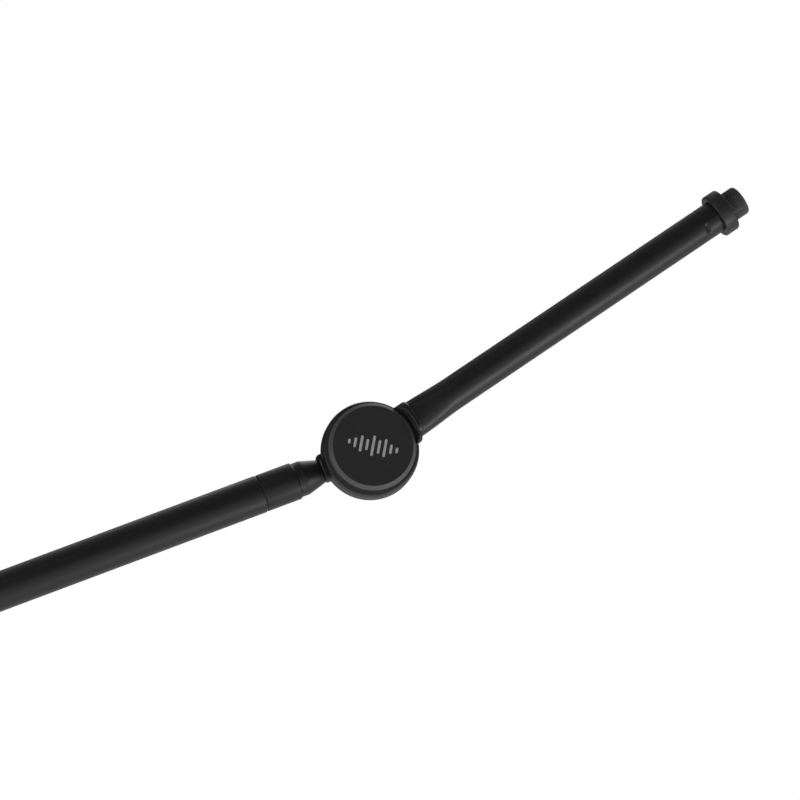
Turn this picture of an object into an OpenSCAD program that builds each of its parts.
// Boom microphone stand: weighted round base, telescopic upright, tilting telescopic boom with a
// counterweight, and a short arm on a friction joint that ends in a microphone thread.
// Millimetres. Origin on the floor under the upright, +Z up, +X the way the boom reaches.
// The boom runs in front of the upright, on its -Y side, and the friction joint turns about Y.

/* [Base] */
// Diameter of the cast base
base_d = 300; // [260:5:340]
// Height of the base at its rim, above the pad
base_rim_h = 10; // [8:1:14]
// Height of the boss that takes the upright, above the floor
base_boss_top = 34; // [30:1:40]
// Thickness of the rubber pad under the base
pad_t = 3; // [2:0.5:5]

/* [Upright] */
// Outer diameter of the lower tube
lower_tube_d = 25.4; // [25:0.2:28]
// Length of the lower tube
lower_tube_len = 600; // [500:10:680]
// Outer diameter of the upper tube
mast_d = 22.2; // [21:0.1:22.3]
// Height of the upper tube's lower end at its lowest setting
mast_bottom = 120; // [100:5:200]
// Height of the upper tube's top at its lowest setting
mast_top = 950; // [900:10:1050]
// Wall of every tube
tube_wall = 1.2; // [1:0.1:1.5]

/* [Head] */
// Height of the tilt axis above the top of the upper tube
pivot_rise = 60; // [56:1:70]
// Distance from the upright's axis forward to the boom's axis
boom_offset = 48; // [46:1:60]
// Diameter of the head's friction discs
head_disc_d = 44; // [40:1:50]

/* [Boom] */
// Angle of the boom above horizontal
boom_angle = 21.8; // [0:0.1:45]
// Outer diameter of the outer boom tube
boom_d = 22.2; // [22.2:0.1:24]
// Length of the outer boom tube behind the tilt axis
boom_rear_len = 320; // [300:5:360]
// Length of the outer boom tube in front of the tilt axis
boom_front_len = 300; // [280:5:320]
// Outer diameter of the inner boom tube
inner_d = 19.2; // [18.5:0.05:19.3]
// Where the inner boom tube starts, in front of the tilt axis
inner_start = 80; // [60:5:120]
// Distance from the tilt axis to the friction joint at the boom's tip
joint_x = 610; // [600:5:640]

/* [Counterweight] */
// Diameter of the counterweight
weight_d = 66; // [60:1:66]
// Length of the counterweight
weight_len = 70; // [60:1:80]
// Distance from the tilt axis back to the counterweight's middle
weight_x = 250; // [230:5:260]

/* [Tip joint] */
// Diameter of the two joint housings
joint_d = 48.8; // [48:0.2:50]
// Depth of each joint housing
housing_t = 11.4; // [11.2:0.2:14]
// Outer diameter of each cap
cap_d = 43.8; // [43:0.2:44.4]
// Diameter of the cap's flat face
cap_face_d = 40.2; // [38:0.2:41]
// Height of each cap above its housing
cap_t = 2.6; // [2.2:0.1:3.2]
// Distance of the boom's axis behind the joint plane
rear_arm_y = 8.2; // [8:0.1:8.3]
// Distance of the arm's axis in front of the joint plane
front_arm_y = 9; // [8.8:0.1:9.4]
// Distance from the joint's axis to the end of the inner boom tube
plug_start = 57.8; // [50:0.2:65]
// Diameter of the end plug's sleeve
sleeve_d = 18.8; // [18:0.1:19]
// Diameter of the end plug's neck
neck_d = 17.5; // [16:0.1:18]
// Small diameter of the end plug's cone
cone_d = 12.5; // [10:0.1:14]

/* [Short arm] */
// Angle of the short arm above the boom's own line
arm_bend = 13.3; // [0:0.1:60]
// Outer diameter of the arm's tube near the joint
arm_d = 16.8; // [16.2:0.1:17.2]
// Outer diameter of the arm's tube at its tip
arm_tip_d = 16.1; // [16:0.1:16.8]
// Distance from the joint's axis to the end of the arm's tube
arm_end = 212; // [180:1:260]
// Width of the arm's flattened root
root_w = 18.5; // [17.5:0.1:19]
// Depth of the arm's flattened root
root_t = 12.6; // [12:0.1:13]
// Outer diameter of the microphone thread
thread_d = 15.7; // [15.6:0.05:15.9]
// Length of thread that stands out past the lock ring
thread_len = 8.5; // [8:0.1:14]
// Diameter of the lock ring
ring_d = 22.7; // [21:0.1:26]
// Length of the lock ring
ring_len = 7.5; // [6:0.5:12]

/* [Hidden] */
$fn = 64;

run_gap = 0.05;        // radial clearance of a turning or sliding fit
face_gap = 0.2;        // clearance between faces that turn on each other
stud_r = 7.9;          // radius of the threaded studs at both ends of the upright
stud_gap = 0.1;        // clearance of a stud in its threaded hole
m8_r = 4;              // radius of the tilt bolt, the joint bolt and the thumb screws
m8_hex_r = 7.2;        // corner radius of their heads and nuts
slit_w = 3;            // width of a collet's slit

pivot_z = mast_top + pivot_rise;
lower_r = lower_tube_d / 2;
lower_bore_r = lower_r - tube_wall;
lower_tube_z = base_boss_top + 6;
lower_tube_top = lower_tube_z + lower_tube_len;
mast_r = mast_d / 2;
mast_bore_r = mast_r - tube_wall;
boom_r = boom_d / 2;
boom_bore_r = boom_r - tube_wall;
inner_r = inner_d / 2;
inner_bore_r = inner_r - tube_wall;
inner_end = joint_x - plug_start;
arm_r = arm_d / 2;
arm_tip_r = arm_tip_d / 2;
arm_bore_r = arm_tip_r - tube_wall;
thread_r = thread_d / 2;
thread_start = arm_end + ring_len + 0.4;
thread_end = thread_start + thread_len;
joint_r = joint_d / 2;
cap_r = cap_d / 2;

head_disc_r = head_disc_d / 2;
head_ear_t = 14;       // depth of the head's fixed ear
head_disc_t = 11;      // depth of the saddle's turning disc
friction_t = 1.8;      // depth of the head's friction disc
saddle_len = 50;       // length of the saddle's collar along the boom
saddle_r = 17;         // radius of the saddle's collar
liner_t = 1.45;        // wall of the plastic liners around the boom
liner_r = boom_r + run_gap + liner_t;
saddle_face_y = -head_ear_t / 2 - friction_t - face_gap;

joint_gap = 0.15;      // half the gap between the two joint housings
pocket_r = 16;         // radius of the pocket under each cap
web_t = 5.4;           // depth from the joint plane to the pocket's floor
disc_seat_r = 18.2;    // radius of the seat for the joint's friction disc
disc_seat_t = 1.4;     // depth of that seat
ear_w = 20.4;           // width of the front housing's ear, which holds the arm
ear_t = 15.4;          // depth of that ear
ear_end = 27.2;         // distance from the joint's axis to the ear's mouth
rear_ear_w = 16.8;     // width of the rear housing's ear, which holds the end plug
rear_ear_t = 12.6;     // depth of that ear
rear_ear_end = 26.6;    // distance from the joint's axis to that ear's face
arm_start = 22.4;      // distance from the joint's axis to the arm tube's inner end
blend_len = 24;        // length over which the flattened root becomes round

// A solid cylinder from z0 to z1
module rod(r, z0, z1) {
    translate([0, 0, z0]) cylinder(r = r, h = z1 - z0);
}

// A tube from z0 to z1
module pipe(r_out, r_in, z0, z1) {
    difference() {
        rod(r_out, z0, z1);
        rod(r_in, z0 - 1, z1 + 1);
    }
}

// A cone from radius r0 at z0 to radius r1 at z1
module taper(r0, r1, z0, z1) {
    translate([0, 0, z0]) cylinder(r1 = r0, r2 = r1, h = z1 - z0);
}

// A rectangle with round corners
module round_rect(w, h, r) {
    square([w - 2 * r, h], center = true);
    square([w, h - 2 * r], center = true);
    for (x = [-1, 1], y = [-1, 1])
        translate([x * (w / 2 - r), y * (h / 2 - r)]) circle(r = r, $fn = 32);
}

// Turns +Z to +X, +Y or -Z
module along_x() { rotate([0, 90, 0]) children(); }
module along_y() { rotate([-90, 0, 0]) children(); }
module along_down() { rotate([180, 0, 0]) children(); }

// The boom's own frame: X along the boom from the tilt axis
module at_boom() {
    translate([0, -boom_offset, pivot_z]) rotate([0, -boom_angle, 0]) children();
}

// The tip joint's frame: Y along its axis, X along the boom
module at_joint() {
    at_boom() translate([joint_x, -rear_arm_y, 0]) children();
}

// The short arm's frame: X along the arm, from the joint's axis
module at_arm() {
    at_joint() rotate([0, -arm_bend, 0]) children();
}

// A bush that closes a sliding tube's hidden end: the tube turns on its spigot
module guide_bush(r_flange, r_spigot) {
    rod(r_flange, -14, -face_gap);
    rod(r_spigot, -1, 20);
}

// Body of a twist clutch, pressed on the outer tube, whose end lies at z = 0
module clutch_body(tube_r, slide_r, r) {
    difference() {
        union() {
            rod(r, -38, 8);
            rod(slide_r + 3.6, 7, 24);
        }
        rod(tube_r, -39, 0);
        rod(slide_r + 0.5, -1, 9);
        rod(slide_r + 1.9, 8, 25);
    }
}

// Split collet that the grip squeezes on the sliding tube
module clutch_collet(slide_r) {
    difference() {
        union() {
            rod(slide_r + 1.7, 8.2, 25);
            taper(slide_r + 1.7, slide_r + 1.1, 24.9, 34);
        }
        rod(slide_r + run_gap, 8, 35);
        translate([0, -slit_w / 2, 12]) cube([slide_r + 5, slit_w, 30]);
    }
}

// Ribbed twist grip on the clutch's nose
module clutch_grip(slide_r, r) {
    difference() {
        union() {
            rod(r, 9, 42);
            taper(r, slide_r + 3.2, 41.9, 51);
            for (i = [0:11]) rotate([0, 0, i * 30]) translate([r, 0, 0]) rod(1.2, 12, 40);
        }
        rod(slide_r + 4, 8, 25);
        rod(slide_r + 2.1, 24, 36);
        rod(slide_r + 0.5, 30, 52);
    }
}

// Star knob on the +Z side of z = 0, with a blind hole for its metal core
module star_knob(r, core_r) {
    difference() {
        union() {
            rod(r * 0.42, 0, 9);
            rod(r * 0.76, 6, 20);
            for (i = [0:5]) rotate([0, 0, i * 60]) translate([r * 0.68, 0, 0]) rod(r * 0.32, 7, 19);
        }
        rod(core_r, -1, 15);
    }
}

// Thumb screw: threaded shank from z0 with a wide end inside its knob at z1
module thumb_screw(z0, z1) {
    rod(m8_r - run_gap, z0, z1 + 14.8);
}

module base_plate() {
    r = base_d / 2;
    rim = pad_t + base_rim_h;
    color("#1b1b1c") rotate_extrude($fn = 180)
        polygon([[stud_r + stud_gap, pad_t], [r - 2, pad_t], [r, pad_t + 2], [r, rim - 4],
                 [r - 1.2, rim - 1.2], [r - 4, rim], [60, rim + 7], [24, rim + 10], [19, base_boss_top],
                 [stud_r + stud_gap, base_boss_top]]);
}

module base_pad() {
    color("#222222") rod(base_d / 2 - 5, 0, pad_t, $fn = 180);
}

module foot_plug() {
    color("#2a2a2b") {
        rod(stud_r, pad_t + 3, base_boss_top + 1);
        rod(lower_r + 1.6, base_boss_top, lower_tube_z);
        rod(lower_bore_r - run_gap, lower_tube_z - 1, lower_tube_z + 26);
    }
}

module lower_tube() {
    color("#1a1a1b") pipe(lower_r, lower_bore_r, lower_tube_z, lower_tube_top);
}

module height_clutch_body() {
    color("#151515") translate([0, 0, lower_tube_top]) clutch_body(lower_r, mast_r, 16.6);
}

module height_collet() {
    color("#d8d4c8") translate([0, 0, lower_tube_top]) clutch_collet(mast_r);
}

module height_grip() {
    color("#161616") translate([0, 0, lower_tube_top]) clutch_grip(mast_r, 19);
}

module mast_guide() {
    color("#d8d4c8") translate([0, 0, mast_bottom])
        guide_bush(lower_bore_r - run_gap, mast_bore_r - run_gap);
}

module mast_tube() {
    color("#1a1a1b") pipe(mast_r, mast_bore_r, mast_bottom, mast_top);
}

module top_stud() {
    color("#8d8d8f") translate([0, 0, mast_top]) {
        rod(mast_bore_r - run_gap, -24, 1);
        rod(mast_r, 0, 4);
        rod(stud_r, 3, 26);
    }
}

module head_socket() {
    color("#171717") difference() {
        union() {
            rod(15, mast_top + 4, mast_top + 32);
            translate([-11, -head_ear_t / 2, mast_top + 31])
                cube([22, head_ear_t, pivot_rise - 31]);
            translate([0, 0, pivot_z]) along_y() rod(head_disc_r, -head_ear_t / 2, head_ear_t / 2);
        }
        rod(stud_r + stud_gap, mast_top + 3, mast_top + 27);
        translate([0, 0, pivot_z]) along_y() rod(m8_r + run_gap, -head_ear_t, head_ear_t);
        translate([0, 0, mast_top + 16]) along_x() rod(3 + run_gap, -20, -5);
    }
}

module socket_set_screw() {
    color("#3a3a3c") translate([0, 0, mast_top + 16]) along_x() difference() {
        rod(3, -14.6, -stud_r - 0.1);
        rod(1.6, -15, -12, $fn = 6);
    }
}

module tilt_washer() {
    color("#9a9a9c") translate([0, 0, pivot_z]) along_y()
        pipe(11, m8_r + run_gap, head_ear_t / 2 + face_gap, head_ear_t / 2 + 1.7);
}

module tilt_knob() {
    color("#131313") translate([0, head_ear_t / 2 + 1.9, pivot_z]) along_y() star_knob(21, 7);
}

module tilt_knob_insert() {
    color("#b08d3e") translate([0, head_ear_t / 2 + 1.9, pivot_z]) along_y() difference() {
        rod(7, 0, 15);
        rod(m8_r + run_gap, -1, 16);
    }
}

module boom_saddle() {
    color("#171717") at_boom() difference() {
        union() {
            along_x() rod(saddle_r, -saddle_len / 2, saddle_len / 2);
            translate([0, boom_offset, 0]) along_y() {
                rod(head_disc_r, saddle_face_y - head_disc_t, saddle_face_y);
                rod(15, -boom_offset, saddle_face_y - 1);
            }
            along_down() rod(8, 10, saddle_r + 5);
        }
        along_x() rod(liner_r, -saddle_len, saddle_len);
        translate([0, boom_offset, 0]) along_y() {
            rod(m8_r + run_gap, -boom_offset, 0);
            rod(m8_hex_r + run_gap, -boom_offset + 8, saddle_face_y - 7, $fn = 6);
        }
        along_down() rod(m8_r, 5, saddle_r + 6);
    }
}

module saddle_liner() {
    color("#d8d4c8") at_boom() difference() {
        along_x() pipe(liner_r, boom_r + run_gap, -saddle_len / 2, saddle_len / 2);
        along_down() rod(m8_r + 0.3, 5, saddle_r);
    }
}

module pivot_bolt() {
    color("#8d8d8f") translate([0, 0, pivot_z]) rotate([0, -boom_angle, 0]) along_y() {
        rod(m8_hex_r, saddle_face_y - 12.5, saddle_face_y - 7, $fn = 6);
        rod(m8_r, saddle_face_y - 8, head_ear_t / 2 + 1.9 + 14.5);
    }
}

module head_friction_disc() {
    color("#5a4632") translate([0, 0, pivot_z]) along_y()
        pipe(head_disc_r - 2, m8_r + run_gap, saddle_face_y, -head_ear_t / 2 - face_gap);
}

module saddle_knob() {
    color("#131313") at_boom() along_down() translate([0, 0, saddle_r + 7]) star_knob(17, m8_r);
}

module saddle_screw() {
    color("#9a9a9c") at_boom() along_down() thumb_screw(boom_r + 0.3, saddle_r + 7);
}

module boom_outer_tube() {
    color("#1a1a1b") at_boom() along_x() pipe(boom_r, boom_bore_r, -boom_rear_len, boom_front_len);
}

module boom_rear_cap() {
    color("#141414") at_boom() along_x() {
        rod(boom_bore_r - run_gap, -boom_rear_len - 1, -boom_rear_len + 16);
        taper(boom_r - 1, boom_r + 0.6, -boom_rear_len - 6, -boom_rear_len - 3.9);
        rod(boom_r + 0.6, -boom_rear_len - 4, -boom_rear_len);
    }
}

module boom_clutch_body() {
    color("#151515") at_boom() along_x() translate([0, 0, boom_front_len])
        clutch_body(boom_r, inner_r, 14.4);
}

module boom_collet() {
    color("#d8d4c8") at_boom() along_x() translate([0, 0, boom_front_len]) clutch_collet(inner_r);
}

module boom_grip() {
    color("#161616") at_boom() along_x() translate([0, 0, boom_front_len]) clutch_grip(inner_r, 16.6);
}

module counterweight() {
    r = weight_d / 2;
    half = weight_len / 2;
    color("#1b1b1c") at_boom() translate([-weight_x, 0, 0]) difference() {
        along_x() {
            rod(r, -half + 3, half - 3);
            taper(r - 3, r, -half, -half + 3.01);
            taper(r, r - 3, half - 3.01, half);
        }
        along_x() rod(liner_r, -half - 1, half + 1);
        along_down() rod(m8_r, 5, r + 1);
    }
}

module counterweight_bush() {
    color("#d8d4c8") at_boom() translate([-weight_x, 0, 0]) difference() {
        along_x() pipe(liner_r, boom_r + run_gap, -weight_len / 2, weight_len / 2);
        along_down() rod(m8_r + 0.3, 5, 20);
    }
}

module counterweight_knob() {
    color("#131313") at_boom() translate([-weight_x, 0, 0]) along_down()
        translate([0, 0, weight_d / 2 + 1]) star_knob(15, m8_r);
}

module counterweight_screw() {
    color("#9a9a9c") at_boom() translate([-weight_x, 0, 0]) along_down()
        thumb_screw(boom_r + 0.3, weight_d / 2 + 1);
}

module boom_guide() {
    color("#d8d4c8") at_boom() along_x() translate([0, 0, inner_start])
        guide_bush(boom_bore_r - run_gap, inner_bore_r - run_gap);
}

module boom_inner_tube() {
    color("#1a1a1b") at_boom() along_x() pipe(inner_r, inner_bore_r, inner_start, inner_end);
}

module end_plug() {
    color("#1a1a1b") at_boom() translate([joint_x, 0, 0]) along_x() {
        rod(inner_bore_r - run_gap, -plug_start - 22, -plug_start + 1);
        rod(sleeve_d / 2, -plug_start, -39);
        rod(neck_d / 2, -39.5, -34.6);
        taper(neck_d / 2, cone_d / 2, -34.65, -rear_ear_end);
        rod(5, -rear_ear_end - 1, -cap_r - 0.5);
        rod(3, -cap_r - 1, -17);
    }
}

// One half of the joint's housing, with its open pocket on the +Z side
module housing_shell(seat_t) {
    difference() {
        union() {
            rod(joint_r, joint_gap, 2.5);
            taper(joint_r, joint_r - 0.8, 2.49, 7);
            taper(joint_r - 0.8, cap_r + 0.4, 6.99, housing_t);
        }
        rod(pocket_r, web_t, housing_t + 1);
        rod(m8_r + run_gap, -1, web_t + 1);
        rod(disc_seat_r, -1, joint_gap + seat_t);
    }
}

module rear_housing() {
    color("#191919") at_joint() difference() {
        union() {
            along_y() housing_shell(disc_seat_t);
            translate([-rear_ear_end, rear_arm_y - 0.1, 0]) along_x()
                linear_extrude(10) round_rect(rear_ear_w, rear_ear_t, 4);
        }
        translate([0, rear_arm_y, 0]) along_x() {
            rod(5.05, -rear_ear_end - 1, -cap_r - 0.4);
            rod(3.05, -rear_ear_end - 1, -16.9);
        }
        along_y() rod(cap_r + 0.1, housing_t, housing_t + 8);
    }
}

module joint_cap() {
    rod(cap_r, housing_t, housing_t + 0.6);
    taper(cap_r, cap_face_d / 2, housing_t + 0.59, housing_t + cap_t);
    pipe(pocket_r - 0.1, pocket_r - 2, housing_t - 1, housing_t + 0.1);
}

module rear_cap() {
    color("#1d1d1e") at_joint() along_y() joint_cap();
}

module joint_bolt() {
    color("#8d8d8f") at_joint() along_y() {
        rod(m8_hex_r, web_t, web_t + 5.2, $fn = 6);
        rod(m8_r, -11, web_t + 1);
    }
}

module joint_nut() {
    color("#8d8d8f") at_joint() along_y() difference() {
        rod(m8_hex_r, -10.8, -7.4, $fn = 6);
        rod(m8_r, -12, -7);
    }
}

module joint_spring() {
    color("#a8a8aa") at_joint() along_y() difference() {
        taper(7, 9, -7.4, -web_t - face_gap);
        rod(m8_r + 0.1, -8, -5);
    }
}

module joint_friction_disc() {
    color("#5a4632") at_joint() along_y()
        pipe(17.9, m8_r + 0.1, -0.25, joint_gap + disc_seat_t - 0.02);
}

// The flattened root's cross-section, in the arm's own depth and width
module root_section(w, t) {
    round_rect(w, t, t / 2 - 0.3);
}

module front_housing() {
    color("#191919") at_arm() difference() {
        union() {
            mirror([0, 1, 0]) along_y() housing_shell(0.4);
            translate([14, -front_arm_y + 0.2, 0]) along_x()
                linear_extrude(ear_end - 14) round_rect(ear_w, ear_t, 5);
        }
        translate([arm_start - 0.1, -front_arm_y, 0]) along_x()
            linear_extrude(ear_end) root_section(root_w + 0.2, root_t + 1.1);
        along_y() rod(pocket_r, -housing_t - 6, -web_t);
        along_y() rod(cap_r + 0.1, -housing_t - 8, -housing_t);
    }
}

module front_cap() {
    color("#1d1d1e") at_arm() mirror([0, 1, 0]) along_y() joint_cap();
}

// Outside or inside of the arm's tube, which starts flat at x0, is round past the blend, and
// goes from radius r to radius r_tip at x1
module arm_form(r, r_tip, w, t, x0, x1) {
    round_start = arm_start + blend_len;
    hull() {
        translate([x0, 0, 0]) along_x() linear_extrude(0.1) root_section(w, t);
        along_x() rod(r - 0.05, round_start, round_start + 2, $fn = 48);
    }
    along_x() taper(r, r_tip, round_start + 1, x1);
}

module arm_tube() {
    color("#1a1a1b") at_arm() translate([0, -front_arm_y, 0]) difference() {
        arm_form(arm_r, arm_tip_r, root_w, root_t, arm_start, arm_end);
        arm_form(arm_bore_r, arm_bore_r, root_w - 2 * tube_wall, root_t - 2 * tube_wall,
                 arm_start - 1, arm_end + 1);
    }
}

module thread_insert() {
    color("#3c3c3e") at_arm() translate([0, -front_arm_y, 0]) along_x() difference() {
        union() {
            rod(arm_bore_r - run_gap, arm_end - 26, arm_end + 0.1);
            rod(thread_r - 0.2, arm_end, thread_start + 0.1);
            rod(thread_r, thread_start, thread_end - 0.6);
            taper(thread_r, thread_r - 0.5, thread_end - 0.61, thread_end);
        }
        rod(5, thread_end - 9, thread_end + 1);
    }
}

module lock_ring() {
    color("#202021") at_arm() translate([0, -front_arm_y, 0]) along_x() difference() {
        union() {
            rod(ring_d / 2, arm_end + 0.7, arm_end + ring_len - 0.5);
            taper(ring_d / 2 - 0.5, ring_d / 2, arm_end + face_gap, arm_end + 0.71);
            taper(ring_d / 2, ring_d / 2 - 0.5, arm_end + ring_len - 0.51, arm_end + ring_len);
        }
        rod(thread_r + run_gap, arm_end - 1, arm_end + ring_len + 1);
    }
}

base_plate();
base_pad();
foot_plug();
lower_tube();
height_clutch_body();
height_collet();
height_grip();
mast_guide();
mast_tube();
top_stud();
head_socket();
socket_set_screw();
tilt_washer();
tilt_knob();
tilt_knob_insert();
boom_saddle();
saddle_liner();
pivot_bolt();
head_friction_disc();
saddle_knob();
saddle_screw();
boom_outer_tube();
boom_rear_cap();
boom_clutch_body();
boom_collet();
boom_grip();
counterweight();
counterweight_bush();
counterweight_knob();
counterweight_screw();
boom_guide();
boom_inner_tube();
end_plug();
rear_housing();
rear_cap();
joint_bolt();
joint_nut();
joint_spring();
joint_friction_disc();
front_housing();
front_cap();
arm_tube();
thread_insert();
lock_ring();
